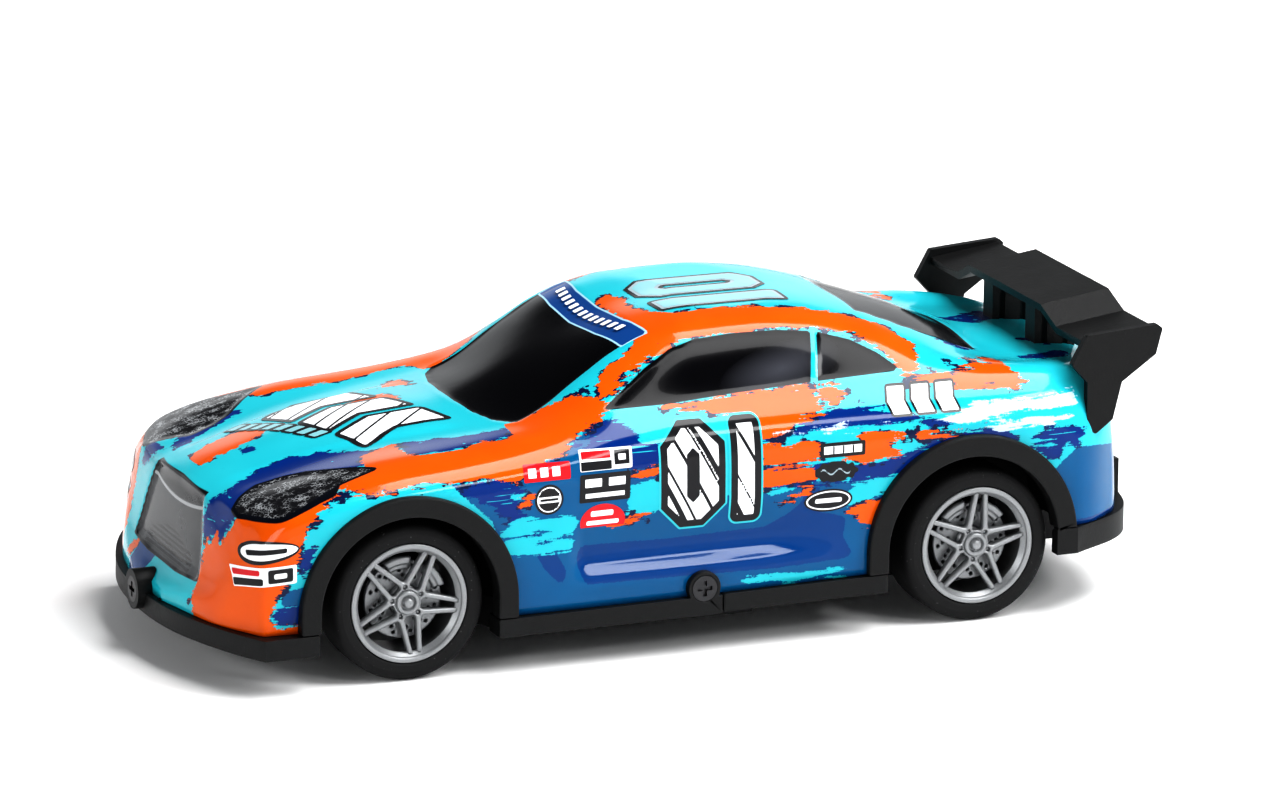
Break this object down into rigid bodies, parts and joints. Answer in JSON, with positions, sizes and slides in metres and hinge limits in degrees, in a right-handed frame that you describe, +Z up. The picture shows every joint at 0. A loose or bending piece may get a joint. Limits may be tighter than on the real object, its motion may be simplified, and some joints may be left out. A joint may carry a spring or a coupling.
{
  "type": "remote control car",
  "caption": "Palm-length radio controlled racing car with a printed shell, rear wing, steering front wheels and a geared rear axle.",
  "frame": {"origin": "on the ground under the middle of the car's box", "axes": "+Y towards the tail, so the nose points to -Y; +X is the car's left side; +Z up"},
  "size_m": [0.0834, 0.199, 0.0612],
  "materials": {
    "printed_shell": "clear film printed on the inside in turquoise, orange and blue, glossy",
    "black_plastic": "matte moulded black",
    "black_screw": "black oxide steel",
    "chassis_plastic": "fine moulded texture",
    "battery_wrap": "shrink wrap",
    "white_plastic": "nylon",
    "circuit_board": "solder mask",
    "brass_metal": "turned",
    "motor_steel": "zinc plated",
    "steel": "ground",
    "silver_plastic": "silver paint, satin",
    "tyre_rubber": "matte rubber"
  },
  "bodies": {
    "root": {"axle_bushes": "brass_metal", "battery_pack": "battery_wrap", "body_screws": "black_screw", "body_shell": "printed_shell", "chassis_tray": "chassis_plastic", "front_brace": "chassis_plastic", "front_bumper_strip": "black_plastic", "front_carrier": "chassis_plastic", "gear_pin": "steel", "gearbox_lower": "chassis_plastic", "gearbox_screws": "black_screw", "gearbox_upper": "chassis_plastic", "kingpin_springs": "steel", "kingpins": "steel", "left_front_arch": "black_plastic", "left_front_skirt": "black_plastic", "left_rear_arch": "black_plastic", "left_rear_skirt": "black_plastic", "motor_can": "motor_steel", "power_switch_body": "chassis_plastic", "rear_bumper_strip": "black_plastic", "rear_wing": "black_plastic", "receiver_board": "circuit_board", "right_front_arch": "black_plastic", "right_front_skirt": "black_plastic", "right_rear_arch": "black_plastic", "right_rear_skirt": "black_plastic", "steering_screws": "black_screw", "steering_servo": "chassis_plastic", "wing_screws": "black_screw"},
    "left_knuckle": {"left_knuckle": "white_plastic", "left_stub_axle": "steel"},
    "left_front_wheel": {"left_front_rim": "silver_plastic", "left_front_tyre": "tyre_rubber", "left_front_brake_disc": "silver_plastic", "left_front_cap": "silver_plastic"},
    "right_knuckle": {"right_knuckle": "white_plastic", "right_stub_axle": "steel"},
    "right_front_wheel": {"right_front_rim": "silver_plastic", "right_front_tyre": "tyre_rubber", "right_front_brake_disc": "silver_plastic", "right_front_cap": "silver_plastic"},
    "rear_wheels": {"rear_axle": "steel", "axle_gear": "white_plastic", "rear_hub_caps": "silver_plastic", "left_rear_rim": "silver_plastic", "left_rear_tyre": "tyre_rubber", "left_rear_brake_disc": "silver_plastic", "right_rear_rim": "silver_plastic", "right_rear_tyre": "tyre_rubber", "right_rear_brake_disc": "silver_plastic"},
    "compound_gear": {"compound_gear": "white_plastic"},
    "motor_rotor": {"motor_shaft": "steel", "motor_pinion": "brass_metal"},
    "steering_link": {"steering_link": "white_plastic"},
    "servo_horn": {"servo_horn": "white_plastic"},
    "battery_door": {"battery_door": "chassis_plastic"},
    "switch_slider": {"power_switch_slider": "white_plastic"}
  },
  "joints": [
    {"name": "left_steer", "type": "hinge", "parent": "root", "child": "left_knuckle", "pos_m": [0.0246, -0.058, 0.0151], "axis": [0, 0, 1], "range_deg": [-22, 22]},
    {"name": "right_steer", "type": "hinge", "parent": "root", "child": "right_knuckle", "pos_m": [-0.0246, -0.058, 0.0151], "axis": [0, 0, 1], "range_deg": [-22, 22]},
    {"name": "left_front_spin", "type": "hinge", "parent": "left_knuckle", "child": "left_front_wheel", "pos_m": [0.0335, -0.058, 0.0151], "axis": [1, 0, 0], "continuous": true},
    {"name": "right_front_spin", "type": "hinge", "parent": "right_knuckle", "child": "right_front_wheel", "pos_m": [-0.0335, -0.058, 0.0151], "axis": [1, 0, 0], "continuous": true},
    {"name": "rear_axle_spin", "type": "hinge", "parent": "root", "child": "rear_wheels", "pos_m": [0, 0.058, 0.0151], "axis": [1, 0, 0], "continuous": true},
    {"name": "compound_gear_spin", "type": "hinge", "parent": "root", "child": "compound_gear", "pos_m": [0.009, 0.0465, 0.02015], "axis": [1, 0, 0], "continuous": true},
    {"name": "motor_spin", "type": "hinge", "parent": "root", "child": "motor_rotor", "pos_m": [0.005, 0.0375, 0.02405], "axis": [1, 0, 0], "continuous": true},
    {"name": "steering_link_slide", "type": "slide", "parent": "root", "child": "steering_link", "axis": [1, 0, 0], "range_m": [-0.0042, 0.0042]},
    {"name": "servo_horn_turn", "type": "hinge", "parent": "root", "child": "servo_horn", "pos_m": [0, -0.036, 0.021], "axis": [0, 0, 1], "range_deg": [-22, 22]},
    {"name": "battery_door_slide", "type": "slide", "parent": "root", "child": "battery_door", "axis": [0, -1, 0], "range_m": [0, 0.02]},
    {"name": "power_switch_slide", "type": "slide", "parent": "root", "child": "switch_slider", "axis": [0, 1, 0], "range_m": [0, 0.003]}
  ],
  "couplings": [
    {"joint": "right_steer", "follows": "left_steer", "ratio": 1},
    {"joint": "servo_horn_turn", "follows": "left_steer", "ratio": -1},
    {"joint": "steering_link_slide", "follows": "left_steer", "m_per_rad": -0.010732},
    {"joint": "compound_gear_spin", "follows": "rear_axle_spin", "ratio": -3.1667},
    {"joint": "motor_spin", "follows": "rear_axle_spin", "ratio": 10.556}
  ]
}
